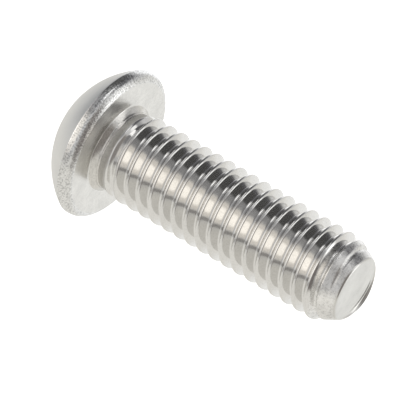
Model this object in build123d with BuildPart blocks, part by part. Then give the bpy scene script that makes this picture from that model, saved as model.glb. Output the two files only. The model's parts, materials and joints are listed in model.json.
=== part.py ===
"""Button head screw, M8 x 25, with a hexagon socket and a coarse right-hand thread.

One solid of stainless steel: the head is cold headed, the hexagon is punched into its crown and
the thread is rolled on the shank.  It is modelled upright on its own axis, with the bearing face
at height 0, the head below it and the shank above it, and is then laid down on its rim and on the
last full crest of its thread, as a loose screw comes to rest.  Millimetres and degrees.
"""

import os
from math import asin, atan2, ceil, cos, degrees, hypot, radians, sin, tan

from build123d import *

# Head
head_diameter = 13.9
head_height = 4.35
crown_flat_diameter = 6.5  # flat ring round the mouth of the socket
rim_height = 1.05  # from the bearing face to the widest circle of the head
bearing_diameter = 12.5  # outer edge of the flat bearing face

# Hexagon socket
socket_across_flats = 5.0
socket_depth = 2.7
socket_mouth_diameter = 6.0  # countersink that breaks the hexagon's corners
socket_mouth_angle = 120.0
socket_floor_angle = 140.0  # shallow cone left by the punch

# Shank
shank_length = 25.0  # from the bearing face to the end of the point
blank_diameter = 7.2  # the rolling blank, left bare as the neck
shoulder_diameter = 7.34  # what the dies don't reach, next to the head
shoulder_length = 0.55
shoulder_slope = 0.45  # width and height of the cone between bearing face and shoulder
neck_length = 1.45  # from the bearing face to where the blank swells into the thread
swell_length = 0.8
point_diameter = 5.7
point_length = 2.1

# Thread
thread_diameter = 7.86  # crests of a rolled M8 thread
thread_pitch = 1.25
thread_angle = 60.0
thread_crest_width = 0.157
thread_phase = 52.6  # angle of the groove where its helix would cross the bearing face
groove_end = 1.55  # height at which the root leaves the blank at the head's end
runout_length = 0.7  # height over which the root climbs to there
cutter_clearance = 0.06  # how far the groove's cutter stands clear of the crests

# How far the screw is rolled about its own axis, from one corner of the hexagon straight down
roll = 2.4


def cone_depth(radius, included_angle):
    """Height of a cone with this base radius and included angle."""
    return radius / tan(radians(included_angle / 2))


head_radius = head_diameter / 2
bearing_radius = bearing_diameter / 2
crown_flat_radius = crown_flat_diameter / 2
socket_radius = socket_across_flats / 2
mouth_radius = socket_mouth_diameter / 2
shoulder_radius = shoulder_diameter / 2
blank_radius = blank_diameter / 2
thread_radius = thread_diameter / 2
thread_depth = cone_depth((thread_pitch - thread_crest_width) / 2, thread_angle)
root_radius = thread_radius - thread_depth

# Groove of the thread: a sharp V swept along a helix of whole turns, less the run-out cone on which
# its root climbs to the surface of the blank.  The helix starts half a turn below the bearing face
# and ends beyond the point, so that neither end of the sweep lies in a face of the blank
cutter_height = thread_depth + cutter_clearance
cutter_half_width = cutter_height * tan(radians(thread_angle / 2))
clear_radius = root_radius + cutter_height + cutter_clearance
climb = (blank_radius - root_radius) / runout_length
with BuildPart() as groove:
    with BuildLine() as groove_path:
        for turn in range(ceil(shank_length / thread_pitch) + 2):
            Helix(thread_pitch, thread_pitch, root_radius, (0, 0, (turn - 0.5) * thread_pitch))
    path = groove_path.line
    with BuildSketch(Plane(path @ 0, x_dir=(1, 0, 0), z_dir=path % 0)):
        with BuildLine():
            Polyline(
                (0, 0),
                (cutter_height, cutter_half_width),
                (cutter_height, -cutter_half_width),
                close=True,
            )
        make_face()
    sweep(path=path, is_frenet=True)
    with BuildSketch(Plane.XZ):
        with BuildLine():
            Polyline(
                (0, -thread_pitch),
                (clear_radius, -thread_pitch),
                (clear_radius, groove_end - (clear_radius - blank_radius) / climb),
                (0, groove_end + blank_radius / climb),
                close=True,
            )
        make_face()
    revolve(axis=Axis.Z, mode=Mode.SUBTRACT)

with BuildPart() as screw:
    # Blank: one profile from the crown to the point, turned about the axis.  The crown is part of
    # a sphere through the edge of the flat and the widest circle
    flat_edge = (crown_flat_radius, -head_height)
    widest = (head_radius, -rim_height)
    bearing_edge = (bearing_radius, 0)
    crown_rise = head_height - rim_height
    crown_centre = (head_radius**2 - crown_flat_radius**2 - crown_rise**2) / (2 * crown_rise) - rim_height
    crown_radius = hypot(head_radius, crown_centre + rim_height)
    flat_edge_turn = atan2(-head_height - crown_centre, crown_flat_radius)
    widest_turn = atan2(-rim_height - crown_centre, head_radius)
    crown_turn = (flat_edge_turn + widest_turn) / 2
    crown_middle = (crown_radius * cos(crown_turn), crown_centre + crown_radius * sin(crown_turn))
    rim_step = head_radius - bearing_radius
    rim_radius = (rim_step**2 + rim_height**2) / (2 * rim_step)
    with BuildSketch(Plane.XZ):
        with BuildLine():
            Line((0, -head_height), flat_edge)
            ThreePointArc(flat_edge, crown_middle, widest)
            RadiusArc(widest, bearing_edge, -rim_radius)
            Polyline(
                bearing_edge,
                (shoulder_radius + shoulder_slope, 0),
                (shoulder_radius, shoulder_slope),
                (shoulder_radius, shoulder_length),
                (blank_radius, shoulder_length + shoulder_radius - blank_radius),
                (blank_radius, neck_length),
                (thread_radius, neck_length + swell_length),
                (thread_radius, shank_length - point_length),
                (point_diameter / 2, shank_length),
                (0, shank_length),
                (0, -head_height),
            )
        make_face()
    revolve(axis=Axis.Z)

    # Hexagon socket, punched into the crown, with a countersunk mouth and a shallow conical floor
    with BuildSketch(Plane.XY.offset(-head_height)):
        RegularPolygon(socket_radius, 6, major_radius=False)
    extrude(amount=socket_depth, mode=Mode.SUBTRACT)
    floor_height = socket_depth - head_height
    with BuildSketch(Plane.XZ):
        for radius, height, angle in (
            (mouth_radius, -head_height, socket_mouth_angle),
            (socket_radius, floor_height, socket_floor_angle),
        ):
            with BuildLine():
                Polyline((0, height), (radius, height), (0, height + cone_depth(radius, angle)), close=True)
            make_face()
    revolve(axis=Axis.Z, mode=Mode.SUBTRACT)

    # Thread, with the half turn that the helix starts early added to its phase
    add(groove.part, rotation=(0, 0, thread_phase + 180), mode=Mode.SUBTRACT)

# Attitude at rest: the rim and the crest at the foot of the point touch the ground, so the axis
# slopes down towards the point by this much
rest_rise = head_radius - thread_radius
rest_span = shank_length - point_length + rim_height
rest_slope = degrees(asin(rest_rise / hypot(rest_span, rest_rise)))
lying = Location((0, 0, 0), (0, 90 + rest_slope, 0)) * Location((0, 0, 0), (0, 0, roll))
reach = screw.part.moved(lying).bounding_box()
resting_place = Location((-reach.center().X, -reach.center().Y, -reach.min.Z)) * lying

with BuildPart() as screw_at_rest:
    with Locations(resting_place):
        add(screw.part)

os.makedirs("parts", exist_ok=True)
screw_at_rest.part.label = "screw"
export_step(screw_at_rest.part, "parts/screw.step")
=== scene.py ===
"""Dresses a stainless M8 x 25 button head screw that lies on a pale floor.

The finished surface of the screw is one closed mesh, worked out with numpy: a profile turned about
the axis for the head, neck and point, and a helical strip for the rolled thread between them.
Sizes and colours are in the panel's groups, and each operator makes one piece or the stage.
Shapes are worked out in millimetres, in the screw's own axes.  Height runs along its axis: it is 0 at
the bearing face, negative in the head and positive in the shank.
"""

import json
from math import cos, hypot, pi, radians, sin, tan

import bpy
import numpy as np
from mathutils import Matrix, Vector


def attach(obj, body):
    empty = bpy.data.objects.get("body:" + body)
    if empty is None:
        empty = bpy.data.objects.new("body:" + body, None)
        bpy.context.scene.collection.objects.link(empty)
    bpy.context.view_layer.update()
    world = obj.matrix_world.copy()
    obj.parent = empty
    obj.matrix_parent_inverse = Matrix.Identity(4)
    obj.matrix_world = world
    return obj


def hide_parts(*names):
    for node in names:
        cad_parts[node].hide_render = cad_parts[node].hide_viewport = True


bl_info = {
    "name": "Button head screw",
    "version": (1, 0, 0),
    "blender": (4, 5, 0),
    "location": "View3D > Sidebar > Screw",
    "description": "Stainless button head screw with a hexagon socket and a rolled thread",
    "category": "Object",
}

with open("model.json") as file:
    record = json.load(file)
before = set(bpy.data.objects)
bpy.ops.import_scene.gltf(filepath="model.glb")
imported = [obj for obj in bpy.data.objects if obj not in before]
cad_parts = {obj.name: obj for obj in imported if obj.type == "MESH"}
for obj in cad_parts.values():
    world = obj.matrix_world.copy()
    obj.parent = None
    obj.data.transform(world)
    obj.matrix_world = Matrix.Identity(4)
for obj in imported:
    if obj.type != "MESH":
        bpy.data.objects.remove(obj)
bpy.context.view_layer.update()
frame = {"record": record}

MM = 0.001
COLUMNS = 144  # points round the axis; a multiple of six, so that the socket's corners fall on points


def mounting(name):
    """Place in millimetres and axis of one of the record's mounts."""
    mount = next(m for m in frame["record"]["mounts"] if m["name"] == name)
    return np.array(mount["pos_m"]) / MM, np.array(mount["axis"])


def length(name, size, description):
    """A size in millimetres as a length property."""
    return bpy.props.FloatProperty(
        name=name, description=description, default=size * MM, unit="LENGTH", precision=5, min=0.0
    )


def colour(name, code, description):
    """An sRGB hex colour as a colour property, which holds it as sRGB."""
    return bpy.props.FloatVectorProperty(
        name=name,
        description=description,
        default=[int(code[i : i + 2], 16) / 255 for i in (1, 3, 5)],
        subtype="COLOR_GAMMA",
        size=3,
        min=0.0,
        max=1.0,
    )


def linear(gamma_colour):
    """sRGB to linear, with alpha: the lowest values are divided by 12.92, and the rest follow the
    2.4 power."""
    c = np.array(gamma_colour, float)
    c = np.where(c <= 0.04045, c / 12.92, ((c + 0.055) / 1.055) ** 2.4)
    return (*c, 1.0)


# ---------------------------------------------------------------- sizes and colours


class HeadSizes(bpy.types.PropertyGroup):
    """Sizes of the head, the socket and the shoulder"""

    radius: length("Head radius", 6.95, "Radius of the widest circle of the head")
    height: length("Head height", 4.35, "From the bearing face to the top of the crown")
    rim_height: length("Rim height", 1.05, "From the bearing face to the widest circle")
    bearing_radius: length("Bearing radius", 6.25, "Outer edge of the bearing face")
    crown_flat: length("Crown flat radius", 3.25, "Edge of the flat ring round the socket")
    mouth_radius: length("Mouth radius", 3.0, "Countersink that breaks the socket's corners")
    socket_radius: length("Socket radius", 2.5, "From the axis to a flat of the hexagon")
    socket_depth: length("Socket depth", 2.7, "Depth of the hexagon's flats")
    shoulder_radius: length("Shoulder radius", 3.67, "Ring that the thread dies don't reach")
    shoulder_length: length("Shoulder length", 0.55, "From the bearing face to the shoulder's end")
    shoulder_slope: length("Shoulder slope", 0.45, "Width and height of the cone under the head")


class ThreadSizes(bpy.types.PropertyGroup):
    """Sizes of the shank and its rolled thread"""

    length: length("Shank length", 25.0, "From the bearing face to the end of the point")
    start: length("Thread start", 1.45, "From the bearing face to the thread's nominal start")
    blank_radius: length("Blank radius", 3.6, "The blank that the thread is rolled on")
    neck_length: length("Neck length", 0.72, "From the bearing face to the swell of the first crest")
    swell_length: length("Swell length", 1.53, "Over which the blank swells to the crests")
    radius: length("Thread radius", 3.93, "Radius of the crests")
    pitch: length("Pitch", 1.25, "From one crest to the next")
    crest_width: length("Crest width", 0.157, "Flat of a crest")
    root_round: length("Root radius", 0.18, "Radius of the rolled root")
    point_radius: length("Point radius", 2.85, "End of the point's cone")
    point_length: length("Point length", 2.1, "Length of the point's cone")
    groove_end: length("Groove end", 1.55, "Height at which the root leaves the neck")
    runout: length("Run-out", 0.7, "Height over which the root climbs to the neck")
    phase: bpy.props.FloatProperty(
        name="Phase",
        description="Angle of the groove where its helix would cross the bearing face",
        default=radians(52.6),
        subtype="ANGLE",
    )
    roll: bpy.props.FloatProperty(
        name="Roll",
        description="How far the screw is rolled about its own axis as it lies",
        default=radians(2.4),
        subtype="ANGLE",
    )


class SteelFinish(bpy.types.PropertyGroup):
    """Colours of the steel's finishes"""

    crown: colour("Crown", "#dddddc", "Satin crown, polished in the barrel")
    rim: colour("Rim", "#e6e6e5", "Tumbled rim")
    bearing: colour("Bearing face", "#e0dfdc", "Bearing face as pressed")
    # A little darker than the thread: painted shade under the head, on the drawn blank
    neck: colour("Neck", "#dad8d4", "Drawn blank, left bare under the head")
    thread: colour("Thread", "#e1e0de", "Rolled thread")
    # Paler than the thread: painted light on the point's cone, which is also frosted
    point: colour("Point", "#edecea", "Cone of the point, squeezed between the dies")
    end: colour("End", "#d6d5d2", "Sheared end and its lip")
    socket: colour("Socket", "#b9b7b3", "Punched socket")


class StudioSettings(bpy.types.PropertyGroup):
    """Camera, floor and light"""

    lens: bpy.props.FloatProperty(
        name="Lens", description="Focal length in millimetres", default=301.0, subtype="DISTANCE_CAMERA"
    )
    distance: length("Distance", 279.55, "From the camera to the middle of the view")
    floor: colour("Floor", "#f7f7f6", "Pale floor")
    sky: colour("Tent", "#d8d8d8", "Pale tent round the stage")
    ground: colour("Ground", "#f2f0ea", "What the ground sends up")


# ---------------------------------------------------------------- surfaces


def corner_round(before, corner, after, reach, steps=5):
    """Points that round a corner of a profile: a quadratic Bezier curve that leaves each side `reach`
    from the corner and has the corner as its middle control point."""
    before, corner, after = (np.array(p, float) for p in (before, corner, after))
    start = corner + (before - corner) * reach / np.linalg.norm(before - corner)
    end = corner + (after - corner) * reach / np.linalg.norm(after - corner)
    t = np.linspace(0, 1, steps)[:, None]
    return (1 - t) ** 2 * start + 2 * t * (1 - t) * corner + t**2 * end


def soft_min(a, b, width):
    """The lesser of two heights, with their crossing rounded over `width`."""
    near = np.maximum(width - np.abs(a - b), 0) / width
    return np.minimum(a, b) - near**2 * width / 4


def soft_max(a, b, width):
    """The greater of two heights, with their crossing rounded over `width`."""
    return -soft_min(-a, -b, width)


def socket_rings(head, around):
    """Rings of the socket, from the middle of its floor to its mouth.  At each angle the hexagon's
    radius is its apothem over the p-norm of the cosines to its six flats, which rounds the corners a
    little.  The floor is a cone at 20 degrees and the mouth one at 30 degrees to the crown's flat."""
    apothem, mouth, top = head.socket_radius / MM, head.mouth_radius / MM, -head.height / MM
    floor = top + head.socket_depth / MM
    floor_slope, mouth_slope = tan(radians(20)), tan(radians(30))
    sharpness = 60  # p of the norm
    flats = np.cos(around[:, None] - np.radians(np.arange(30, 390, 60)))
    hexagon = apothem / (np.maximum(flats, 0) ** sharpness).sum(1) ** (1 / sharpness)
    rings = []
    for share in (0.0, 0.03, 0.12, 0.25, 0.4, 0.55, 0.7, 0.82, 0.91, 0.96):
        radius = share * hexagon
        rings.append((radius, floor + np.maximum(apothem - radius, 0) * floor_slope))
    round_floor = 0.05  # rounding between the floor and the walls
    for inward, rise in ((round_floor, 0.0), (0.02, 0.015), (0.0, round_floor)):
        rings.append((hexagon - inward, np.full_like(hexagon, floor - rise)))
    rim = top + (mouth - hexagon) * mouth_slope
    for share in (0.25, 0.5, 0.75, 0.94):
        rings.append((hexagon, (floor - round_floor) * (1 - share) + rim * share))
    for share in (0.06, 0.3, 0.6, 0.9):
        radius = hexagon + (mouth - hexagon) * share
        rings.append((radius, top + (mouth - radius) * mouth_slope))
    return rings


def head_profile(head, thread):
    """(radius, height) points from the socket's mouth over the crown and the rim, along the bearing
    face and down to the neck.  The crown is an arc about the axis through the edge of its flat and the
    widest circle.  From there the rim is a short land, which narrows a little so that it clears the
    ground, and a quadratic Bezier curve to the bearing face.  Every corner is rounded."""
    top, low = -head.height / MM, -head.rim_height / MM
    wide, flat, bearing = head.radius / MM, head.crown_flat / MM, head.bearing_radius / MM
    centre = (wide**2 + low**2 - flat**2 - top**2) / (2 * (low - top))
    ball = hypot(wide, low - centre)
    turn = np.linspace(np.arcsin(flat / ball), np.arcsin(wide / ball), 27)
    crown = np.column_stack((ball * np.sin(turn), centre - ball * np.cos(turn)))

    land_share, land_taper = 0.43, 0.12  # the land's part of the rim's height, and its slope
    rise = np.linspace(0, -land_share * low, 6)
    land = np.column_stack((wide - land_taper * rise, low + rise))
    knee, edge = np.array((bearing + 0.55, -0.22)), np.array((bearing, 0.0))
    t = np.linspace(0, 1, 9)[1:, None]
    rim = np.vstack((land, (1 - t) ** 2 * land[-1] + 2 * t * (1 - t) * knee + t**2 * edge))

    shoulder, slope = head.shoulder_radius / MM, head.shoulder_slope / MM
    blank, end = thread.blank_radius / MM, head.shoulder_length / MM
    foot, cone, ring = (shoulder + slope, 0.0), (shoulder, slope), (shoulder, end)
    bare = (blank, end + shoulder - blank)
    mouth = (head.mouth_radius / MM, top)
    face = np.linspace(bearing - 0.2, foot[0] + 0.2, 9)
    return np.vstack(
        (
            corner_round((mouth[0] - 0.1, top + 0.058), mouth, (flat, top), 0.05),
            corner_round((mouth[0], top), (flat, top), crown[1], 0.1),
            crown[1:-1],
            corner_round(crown[-2], crown[-1], rim[1], 0.1),
            rim[2:-2],
            corner_round(rim[-3], rim[-1], (bearing - 1, 0), 0.09),
            np.column_stack((face, np.zeros(9))),
            corner_round((foot[0] + 1, 0), foot, cone, 0.12),
            corner_round(foot, cone, ring, 0.045, 3),
            corner_round(cone, ring, bare, 0.03, 3),
            corner_round(ring, bare, (blank, end + 1), 0.04, 4),
        )
    )


SEAM = 0.022  # depth and half-width of the fine seam where the rolled metal closes along a crest


def thread_surface(thread, around, height):
    """Radius and frost of the threaded shank, from angle and height.  A height's distance from the
    nearest turn of the helix gives a V of 60 degrees with a round root.  Near the head the V is cut
    off by the run-out cone.  The radius is the lesser of the V and the blank, which swells from the
    neck to the crests along a smooth step and narrows again in the point.  A seam, a bell curve
    across, runs along the middle of each crest.  The first crest, which the dies don't close, is
    frosted instead."""
    pitch, crest = thread.pitch / MM, thread.crest_width / MM
    outer, blank, ball = thread.radius / MM, thread.blank_radius / MM, thread.root_round / MM
    neck, swell = thread.neck_length / MM, thread.swell_length / MM
    end, point = thread.length / MM, thread.point_length / MM
    flank, soft = radians(30), 0.05  # half the V's angle, and the rounding where surfaces cross
    slope = 1 / tan(flank)
    floor = outer - (pitch - crest) / 2 * slope
    off = height - (around - thread.phase) / (2 * pi) * pitch
    off = np.abs((off + pitch / 2) % pitch - pitch / 2)
    round_root = floor + ball / sin(flank) - np.sqrt(np.maximum(ball**2 - off**2, 0))
    vee = np.where(off < ball * cos(flank), round_root, floor + off * slope)
    climb = (blank - floor) / (thread.runout / MM)
    vee = soft_max(vee, blank - climb * (height - thread.groove_end / MM), 0.06)

    share = np.clip((height - neck) / swell, 0, 1)
    body = blank + (outer - blank) * share * share * (3 - 2 * share)
    cone = outer - (height - (end - point)) / point * (outer - thread.point_radius / MM)
    body = soft_min(body, cone, soft)

    seam = np.exp(-(((pitch / 2 - off) / SEAM) ** 2)) * np.clip((height - neck - swell) / 0.5, 0, 1)
    seam *= np.clip((end - point - height) / 0.3, 0, 1)
    crestward = np.clip((vee - body) / soft + 0.5, 0, 1)
    open_crest = np.clip((neck + swell + 0.9 - height) / 0.6, 0, 1)
    return soft_min(vee, body, soft) - SEAM * seam, crestward * open_crest


def thread_strip(thread, around, low, high):
    """Radius, height and frost of the threaded shank as one helical strip, and its rows in a turn.
    The rows follow the helix at fixed distances from the root, close together where the surface
    bends, and are held between two heights, so that it ends square at both ends.  The row that
    leaves the last column goes on one turn further in the first."""
    pitch, crest = thread.pitch / MM, thread.crest_width / MM
    edge = (pitch - crest) / 2
    side = (0.05, 0.1, 0.145, 0.17, 0.26, 0.36, 0.46, edge - 0.03, edge, edge + 0.02, pitch / 2 - SEAM)
    side = np.array(side)
    rows = np.concatenate((-side[::-1], [0.0], side, [pitch / 2]))
    turns = int(np.ceil((high + 1) / pitch)) + 1
    base = (np.arange(turns)[:, None] * pitch + rows).ravel()
    height = base[:, None] + (around - thread.phase) / (2 * pi) * pitch
    height = np.clip(height, low, high)
    radius, frost = thread_surface(thread, around[None, :], height)
    return radius, height, frost, len(rows)


def point_rings(thread, around, start):
    """Rings of the end face, from the point's cone to its middle: a round lip, which is highest and
    folded in on one side, and inside it a shallow dish with one soft ridge across it, as a sheared
    blank keeps when the dies roll its end over.  The lift of the lip is a bell curve of the angle, the
    fold one of the radius, and the ridge one of the distance from a line across the dish."""
    end, lip = thread.length / MM, thread.point_radius / MM
    lift_height, lift_side, lift_spread = 0.2, radians(30), 0.8
    fold_share, fold_at, fold_width = 0.7, 0.84, 0.07
    ridge_height, ridge_way, ridge_off, dish = 0.05, radians(150), 0.15, 0.10
    dish_edge, dish_fall = 0.92, 0.5

    cone = (thread.radius / MM - lip) / (thread.point_length / MM)
    edge = corner_round((lip + cone, end - 1), (lip, end), (0, end), 0.22, 7)
    edge = edge[edge[:, 1] > start + 0.01]
    turn = (around - lift_side + pi) % (2 * pi) - pi
    lift = lift_height * np.exp(-((turn / lift_spread) ** 2))
    out = np.clip((edge[:, 1:] - start) / 0.15, 0, 1)
    rings = [(np.full_like(around, r), z + lift * k) for (r, z), k in zip(edge, out)]
    for share in (dish_edge, 0.88, 0.84, 0.8, 0.76, 0.7, 0.62, 0.54, 0.45, 0.36, 0.27, 0.18, 0.09, 0.0):
        radius = np.full_like(around, share * lip)
        fall = np.clip((dish_edge - share) / dish_fall, 0, 1)
        across = radius * np.cos(around - ridge_way) / lip
        ridge = ridge_height * np.exp(-((across - ridge_off) ** 2) / 0.06) - dish
        fold = fold_share * lift * np.exp(-(((share - fold_at) / fold_width) ** 2))
        rings.append((radius, end + lift * share**5 - fold + fall * fall * (3 - 2 * fall) * ridge))
    return rings


def weld(points, quads):
    """Merges points that coincide, cuts the quads into triangles and drops those with no width."""
    kept, first, index = np.unique(np.round(points, 5), axis=0, return_index=True, return_inverse=True)
    quads = index.reshape(-1)[quads]
    split = np.vstack((quads[:, [0, 1, 2]], quads[:, [0, 2, 3]]))
    real = (split[:, 0] != split[:, 1]) & (split[:, 1] != split[:, 2]) & (split[:, 2] != split[:, 0])
    return kept, first, split[real]


def ring_quads(count, offset):
    """Quads between each ring and the next, closed round the axis."""
    row, col = np.meshgrid(np.arange(count - 1), np.arange(COLUMNS), indexing="ij")
    near, beside = row * COLUMNS + col, row * COLUMNS + (col + 1) % COLUMNS
    return offset + np.stack((near, beside, beside + COLUMNS, near + COLUMNS), -1).reshape(-1, 4)


def strip_quads(rows, per_turn, offset):
    """Quads of the helical strip.  The last column joins the first one turn further along."""
    row, col = np.meshgrid(np.arange(rows - 1), np.arange(COLUMNS), indexing="ij")
    onward = np.where(col == COLUMNS - 1, row + per_turn, row)
    fits = onward < rows - 1
    near, beside = row * COLUMNS + col, onward * COLUMNS + (col + 1) % COLUMNS
    quads = np.stack((near, beside, beside + COLUMNS, near + COLUMNS), -1)
    return offset + quads[fits].reshape(-1, 4)


def screw_surface(head, thread):
    """Points, triangles and each point's frost for the whole closed surface: the rings of the head
    from the socket's floor to the neck, the strip of the thread and the rings of the end, welded
    where they meet."""
    around = np.arange(COLUMNS) * 2 * pi / COLUMNS
    profile = head_profile(head, thread)
    rings = [(np.full(COLUMNS, r), np.full(COLUMNS, z)) for r, z in profile]
    low, high = profile[-1, 1] + 0.03, thread.length / MM - 0.2  # ends of the strip
    rings.append((np.full(COLUMNS, thread.blank_radius / MM), np.full(COLUMNS, low)))
    radius, height, matt, per_turn = thread_strip(thread, around, low, high)
    parts = (
        np.array(socket_rings(head, around) + rings),
        np.stack((radius, height), 1),
        np.array([(radius[-1], height[-1])] + point_rings(thread, around, high)),
    )
    every = np.concatenate(parts)
    r, z = every[:, 0], every[:, 1]
    local = np.stack((r * np.cos(around), r * np.sin(around), z), -1).reshape(-1, 3)
    head_count, strip_count, tip_count = (len(p) for p in parts)
    body_count = head_count + strip_count
    quads = np.vstack(
        (
            ring_quads(head_count, 0),
            strip_quads(strip_count, per_turn, head_count * COLUMNS),
            ring_quads(tip_count, body_count * COLUMNS),
        )
    )
    points, first, faces = weld(local, quads)
    frost = np.zeros(r.shape)
    frost[head_count:body_count] = matt
    return points, faces, frost.reshape(-1)[first]


def resting_place(thread):
    """Where the screw lies: the middle of its bearing face in millimetres, and its own three axes as
    rows.  The third runs along it to the point, and the other two are turned about it by the roll."""
    middle, axis = mounting("thread")
    place = middle - axis * (thread.length / MM + thread.start / MM) / 2
    across = np.array([0.0, 1.0, 0.0])
    down = np.cross(across, axis)
    turned = cos(thread.roll) * down + sin(thread.roll) * across
    beside = cos(thread.roll) * across - sin(thread.roll) * down
    return place, np.stack((turned, beside, axis))


def new_mesh(name, points, faces, attributes=(), zones=None):
    """A mesh object at the origin, smooth, with float attributes on its points and a material on
    each face."""
    mesh = bpy.data.meshes.new(name)
    mesh.from_pydata(points.tolist(), [], faces.tolist())
    mesh.shade_smooth()
    for label, values in attributes:
        attribute = mesh.attributes.new(label, "FLOAT", "POINT")
        attribute.data.foreach_set("value", values.astype(np.float32))
    if zones is not None:
        mesh.polygons.foreach_set("material_index", zones.astype(np.int32))
    mesh.update()
    piece = bpy.data.objects.new(name, mesh)
    bpy.context.scene.collection.objects.link(piece)
    return piece


# ---------------------------------------------------------------- materials

# Finishes of the steel, in the order of the screw's material slots: the material's name, the zone it
# is on, whose colour in the panel has the same name, and the six numbers that stainless() takes, in
# its order.  Real marks of these kinds are about 0.01 to 0.05 mm across.  That is too fine to show from
# the camera, where the least that can be seen is 0.08 mm, so they are drawn 0.10 to 0.35 mm across
# The fifth of the six numbers paints the bottoms of the marks darker, which is painted shade in the
# marks
FINISHES = (
    # Cold headed and polished in a barrel: no mark stands out, and light spreads over it evenly
    ("stainless_satin_crown", "crown", 0.32, 0.04, 0.10, 0.0012, 0.0, 0.03),
    # Struck by others in the barrel: dents that break each reflection into bright and dark specks, with
    # the bottoms of the dents painted darker as painted shade
    ("stainless_tumbled_rim", "rim", 0.18, 0.06, 0.15, 0.020, 0.40, 0.08),
    # Pressed by the heading die: smooth, with a slightly cloudy reflection
    ("stainless_pressed_bearing", "bearing", 0.22, 0.05, 0.35, 0.008, 0.06, 0.08),
    # Burnished by the rolling dies: nearly a mirror, with sharp light and dark bands on its flanks
    ("stainless_rolled_thread", "thread", 0.09, 0.02, 0.14, 0.0012, 0.08, 0.04),
    # Squeezed at the ends of the dies, which don't close it: frosted and lightly dented, and paler than
    # the thread, which is painted light on the cone
    ("stainless_rolled_point_painted_light", "point", 0.30, 0.06, 0.22, 0.014, 0.26, 0.16),
    # Punched, and out of the barrel's reach: dull, and its colour is set darker than the rest of the
    # head, inside the recess
    ("stainless_punched_socket", "socket", 0.34, 0.06, 0.20, 0.003, 0.0, 0.08),
    # Drawn wire, left bare: soft long highlights with faint marks in them, and a tone a little darker
    # than the thread's, which is painted shade under the head
    ("stainless_drawn_neck_painted_shade", "neck", 0.18, 0.05, 0.16, 0.006, 0.16, 0.10),
    # Sheared and then rolled over: a smooth face that takes the light in uneven patches
    ("stainless_sheared_end", "end", 0.20, 0.05, 0.34, 0.006, 0.0, 0.10),
)
PATCH = 1.6  # size in millimetres of the areas between which the tone wanders
FROST_ROUGHNESS, FROST_RELIEF = 0.28, 4.0  # what frost adds to the roughness and to the marks' depth


def finish_zones(head, thread, points, faces):
    """Number of each triangle's finish, from the height of its middle and its distance from the axis.
    Each zone is laid over those before it.  The neck is what the dies leave bare, and its darker tone
    is painted shade under the head.  The end is the sheared face with its lip."""
    mid = points[faces].mean(1)
    reach, up = np.hypot(mid[:, 0], mid[:, 1]), mid[:, 2]
    shank = thread.length / MM
    number = {finish[1]: i for i, finish in enumerate(FINISHES)}
    zones = np.full(len(faces), number["thread"])
    for zone, inside in (
        ("crown", up < 0.0),
        ("rim", (up < 0.0) & (up > -head.rim_height / MM)),
        ("bearing", (np.abs(up) < 0.02) & (reach < head.bearing_radius / MM - 0.03)),
        # The point's paler tone is painted light on its cone
        ("point", up > shank - thread.point_length / MM),
        ("socket", (up < 0.0) & (reach < head.mouth_radius / MM)),
        # The neck's finish has a darker tone, which is painted shade under the head
        ("neck", (up > 0.06) & (up < 1.25)),
        ("end", (up > shank - 0.25) & (reach < 1.03 * thread.point_radius / MM)),
    ):
        zones[inside] = number[zone]
    return zones


def node(tree, kind, values=(), links=(), **settings):
    """Adds a shader node, sets its settings and input values, and links its inputs from other
    sockets."""
    made = tree.nodes.new(kind)
    for key, value in settings.items():
        setattr(made, key, value)
    for key, value in dict(values).items():
        made.inputs[key].default_value = value
    for key, source in dict(links).items():
        tree.links.new(source, made.inputs[key])
    return made


def screw_axes(tree, place, axes):
    """Object coordinates turned into the screw's own: z along its axis, from the bearing face."""
    where = node(tree, "ShaderNodeTexCoord")
    turn = Matrix(axes.T.tolist()).to_euler()
    return node(
        tree,
        "ShaderNodeMapping",
        {"Location": place * MM, "Rotation": turn},
        {"Vector": where.outputs["Object"]},
        vector_type="TEXTURE",
    ).outputs["Vector"]


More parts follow.
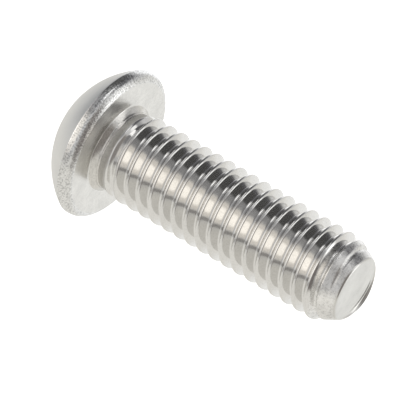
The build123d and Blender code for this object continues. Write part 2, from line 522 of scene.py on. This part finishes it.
def stainless(name, tint, roughness, spread, grain, depth, painted_pit_shade, patches, place, axes):
    """Stainless steel: bare metal, so all that shows is reflection, a little warmer than what it
    reflects.  `grain` is the size in millimetres of the marks that its making left, `depth` their
    depth, `painted_pit_shade` how much darker their bottoms are painted, which is painted shade in the
    marks,
    `roughness` and `spread` how blurred the reflection is and how much that varies, and `patches` how
    far the tone wanders between slow areas.  Where the attribute "frost" is 1, as on crests that the
    dies only half closed, it is matt."""
    material = bpy.data.materials.new(name)
    material.use_nodes = True
    tree = material.node_tree
    steel = tree.nodes["Principled BSDF"]
    steel.inputs["Metallic"].default_value = 1.0
    own = screw_axes(tree, place, axes)
    marks = node(
        tree,
        "ShaderNodeTexNoise",
        {"Scale": 1 / (grain * MM), "Detail": 3.0, "Roughness": 0.6},
        {"Vector": own},
    ).outputs["Fac"]
    slow = node(tree, "ShaderNodeTexNoise", {"Scale": 1 / (PATCH * MM), "Detail": 2.0}, {"Vector": own})
    frost = node(tree, "ShaderNodeAttribute", attribute_name="frost").outputs["Fac"]

    blur = node(
        tree,
        "ShaderNodeMapRange",
        {"From Min": 0.3, "From Max": 0.7, "To Min": roughness - spread, "To Max": roughness + spread},
        {"Value": marks},
    )
    matt = node(
        tree,
        "ShaderNodeMath",
        {1: FROST_ROUGHNESS},
        {0: frost, 2: blur.outputs["Result"]},
        operation="MULTIPLY_ADD",
    )
    tree.links.new(matt.outputs["Value"], steel.inputs["Roughness"])

    shade = node(
        tree,
        "ShaderNodeMapRange",
        {"From Min": 0.3, "From Max": 0.7, "To Min": 1 - patches, "To Max": 1 + patches * 0.4},
        {"Value": slow.outputs["Fac"]},
    )
    # Painted shade: the bottoms of the marks are painted darker, by up to the fifth number of the
    # finish
    pit_shade = node(
        tree,
        "ShaderNodeMapRange",
        {"From Min": 0.35, "From Max": 0.55, "To Min": 1 - painted_pit_shade, "To Max": 1.0},
        {"Value": marks},
    )
    tone = node(
        tree,
        "ShaderNodeVectorMath",
        {0: linear(tint)[:3]},
        {1: shade.outputs["Result"]},
        operation="MULTIPLY",
    )
    pit_shaded_tone = node(
        tree,
        "ShaderNodeVectorMath",
        links={0: tone.outputs["Vector"], 1: pit_shade.outputs["Result"]},
        operation="MULTIPLY",
    )
    tree.links.new(pit_shaded_tone.outputs["Vector"], steel.inputs["Base Color"])

    relief = node(
        tree, "ShaderNodeMath", {1: FROST_RELIEF, 2: 1.0}, {0: frost}, operation="MULTIPLY_ADD"
    )
    height = node(
        tree, "ShaderNodeMath", links={0: marks, 1: relief.outputs["Value"]}, operation="MULTIPLY"
    )
    bump = node(
        tree,
        "ShaderNodeBump",
        {"Strength": 1.0, "Distance": depth * MM},
        {"Height": height.outputs["Value"]},
    )
    tree.links.new(bump.outputs["Normal"], steel.inputs["Normal"])
    return material


# ---------------------------------------------------------------- pieces


class SCREW_OT_body(bpy.types.Operator):
    """Make the screw's finished surface, from the socket over the head and the thread to the point"""

    bl_idname = "screw.body"
    bl_label = "Screw"

    def execute(self, context):
        scene = context.scene
        head, thread, steel = scene.screw_head, scene.screw_thread, scene.screw_steel
        place, axes = resting_place(thread)
        points, faces, frost = screw_surface(head, thread)
        zones = finish_zones(head, thread, points, faces)
        solid = place + points @ axes
        piece = new_mesh("screw_finished", solid * MM, faces, [("frost", frost)], zones)
        for name, zone, *numbers in FINISHES:
            piece.data.materials.append(stainless(name, getattr(steel, zone), *numbers, place, axes))
        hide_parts("screw")
        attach(piece, "root")
        return {"FINISHED"}


# ---------------------------------------------------------------- stage


# Panels of the light tent, each laid over the ones before it: name, azimuth from +X and elevation of
# its middle, half-width and half-height, in degrees, and how bright its red, green and blue are
PANELS = (
    ("far ground", 75, -45, 50, 28, (1.02, 1.02, 1.00)),
    ("zenith opening", 60, 90, 30, 30, (0.33, 0.33, 0.34)),
    ("left back sheet", 172, 24, 34, 15, (0.36, 0.37, 0.38)),
    ("back opening", 95, 46, 48, 27, (0.16, 0.16, 0.17)),
    ("opening's depth", 120, 51, 24, 22, (0.11, 0.11, 0.11)),
    ("key box", -122, 35, 36, 28, (1.10, 1.05, 0.98)),
    ("key lamp", -138, 30, 18, 17, (1.80, 1.73, 1.62)),
    ("left sheet edge", -100, 0, 50, 5, (0.42, 0.41, 0.40)),
    ("front grey card", -14, 6, 24, 38, (0.29, 0.27, 0.255)),
    ("dark card", -2, -14, 13, 18, (0.22, 0.20, 0.19)),
    ("right strip", 31, 8, 12, 30, (1.20, 1.20, 1.19)),
    ("right lamp", 31, -14, 10, 16, (1.80, 1.80, 1.79)),
    ("top box", 46, 70, 15, 10, (1.80, 1.80, 1.80)),
    ("back low box", 112, -6, 22, 22, (1.32, 1.33, 1.34)),
)

FLOOR_SIDES, FLOOR_RADIUS = 96, 2.5  # the radius is in metres

# Camera: the directions of its right and of its back, a point in millimetres on the screw's axis, and
# how far the middle of the view lies to the left of it and above it
CAMERA_RIGHT = (0.7912, 0.6113, 0.0)
CAMERA_BACK = (0.4831, -0.6256, 0.6124)
CAMERA_AIM = (0.248, 0.0, 5.453)
AIM_LEFT, AIM_UP = 1.397, 0.557


def light_tent(scene, studio):
    """The light: a pale tent over a lighter ground, with soft boxes, cards and openings in it.  The
    ground comes in as directions sink from a little above level to 17 degrees below it.  Each panel
    is an ellipse on the sphere of directions, whose edge fades from 1.2 to 0.8 of its size.  Of a Mix
    node's sockets, 0 is the factor, 6 and 7 are the two colours, and output 2 is their mix."""
    world = bpy.data.worlds.new("light_tent")
    scene.world = world
    world.use_nodes = True
    tree = world.node_tree
    way = node(tree, "ShaderNodeTexCoord").outputs["Generated"]
    rise = node(tree, "ShaderNodeSeparateXYZ", links={"Vector": way}).outputs["Z"]
    ground = node(tree, "ShaderNodeMapRange", {"From Min": 0.1, "From Max": -0.3}, {"Value": rise})
    light = node(
        tree,
        "ShaderNodeMix",
        {6: linear(studio.sky), 7: linear(studio.ground)},
        {0: ground.outputs["Result"]},
        data_type="RGBA",
    ).outputs[2]
    for name, azimuth, elevation, wide, high, glow in PANELS:
        turn, lift = radians(azimuth), radians(elevation)
        aim = Vector((cos(lift) * cos(turn), cos(lift) * sin(turn), sin(lift)))
        along = Vector((-sin(turn), cos(turn), 0.0))
        facing = Matrix((along, aim.cross(along), aim)).transposed().to_euler()
        wide, high = 2 * sin(radians(wide / 2)), 2 * sin(radians(high / 2))
        place = node(
            tree,
            "ShaderNodeMapping",
            {"Location": aim, "Rotation": facing, "Scale": (wide, high, max(wide, high))},
            {"Vector": way},
            vector_type="TEXTURE",
        )
        off = node(tree, "ShaderNodeVectorMath", links={0: place.outputs["Vector"]}, operation="LENGTH")
        share = node(
            tree,
            "ShaderNodeMapRange",
            {"From Min": 1.2, "From Max": 0.8},
            {"Value": off.outputs["Value"]},
            interpolation_type="SMOOTHSTEP",
        )
        light = node(
            tree,
            "ShaderNodeMix",
            {7: (*glow, 1.0)},
            {0: share.outputs["Result"], 6: light},
            data_type="RGBA",
            label=name,
        ).outputs[2]
    tree.links.new(light, tree.nodes["Background"].inputs["Color"])


def pale_floor(studio):
    """A round sheet of matt paper at height 0, with a point in its middle and the rest on a circle."""
    corner = np.arange(FLOOR_SIDES)
    side = corner * 2 * pi / FLOOR_SIDES
    ring = np.column_stack((np.cos(side), np.sin(side), np.zeros(FLOOR_SIDES)))
    points = np.vstack((np.zeros((1, 3)), ring * FLOOR_RADIUS))
    faces = np.column_stack((np.zeros(FLOOR_SIDES, int), 1 + corner, 1 + (corner + 1) % FLOOR_SIDES))
    floor = new_mesh("floor", points, faces)
    # Matt paper: no sheen, and lit from below as well, so that it stays an even white
    paper = bpy.data.materials.new("matt_white_paper")
    paper.use_nodes = True
    sheet = paper.node_tree.nodes["Principled BSDF"]
    sheet.inputs["Base Color"].default_value = linear(studio.floor)
    sheet.inputs["Roughness"].default_value = 1.0
    sheet.inputs["Specular IOR Level"].default_value = 0.0
    sheet.inputs["Emission Color"].default_value = linear(studio.floor)
    sheet.inputs["Emission Strength"].default_value = 0.95
    floor.data.materials.append(paper)
    floor.visible_glossy = False  # the tent's lower half stands for it in the steel
    return floor


class SCREW_OT_stage(bpy.types.Operator):
    """Make the pale floor, the pale tent of light and the camera"""

    bl_idname = "screw.stage"
    bl_label = "Stage"

    def execute(self, context):
        scene = context.scene
        studio = scene.screw_studio
        floor = pale_floor(studio)
        light_tent(scene, studio)

        back = Vector(CAMERA_BACK).normalized()
        up = back.cross(Vector(CAMERA_RIGHT).normalized()).normalized()
        right = up.cross(back)
        aim = Vector(CAMERA_AIM) - AIM_LEFT * right + AIM_UP * up
        lens = bpy.data.cameras.new("camera")
        lens.lens = studio.lens
        lens.sensor_width = 36.0
        lens.clip_start, lens.clip_end = 0.01, 10.0
        camera = bpy.data.objects.new("camera", lens)
        scene.collection.objects.link(camera)
        turn = Matrix((right, up, back)).transposed().to_4x4()
        camera.matrix_world = Matrix.Translation(aim * MM + back * studio.distance) @ turn
        scene.camera = camera
        scene.view_settings.view_transform = "Standard"
        return {"FINISHED"}


class SCREW_PT_panel(bpy.types.Panel):
    """Lists the pieces of the screw and its sizes"""

    bl_idname = "SCREW_PT_panel"
    bl_label = "Button head screw"
    bl_space_type = "VIEW_3D"
    bl_region_type = "UI"
    bl_category = "Screw"

    def draw(self, context):
        layout = self.layout
        for operator in (SCREW_OT_body, SCREW_OT_stage):
            layout.operator(operator.bl_idname)
        for group, _ in GROUPS:
            box = layout.box()
            holder = getattr(context.scene, group)
            for name in holder.__annotations__:
                box.prop(holder, name)


GROUPS = (
    ("screw_head", HeadSizes),
    ("screw_thread", ThreadSizes),
    ("screw_steel", SteelFinish),
    ("screw_studio", StudioSettings),
)
CLASSES = (SCREW_OT_body, SCREW_OT_stage, SCREW_PT_panel)


def register():
    for name, group in GROUPS:
        bpy.utils.register_class(group)
        setattr(bpy.types.Scene, name, bpy.props.PointerProperty(type=group))
    for shown in CLASSES:
        bpy.utils.register_class(shown)


def unregister():
    for shown in reversed(CLASSES):
        bpy.utils.unregister_class(shown)
    for name, group in reversed(GROUPS):
        delattr(bpy.types.Scene, name)
        bpy.utils.unregister_class(group)


def main():
    register()
    bpy.ops.screw.stage()
    bpy.ops.screw.body()


if __name__ == "__main__":
    main()
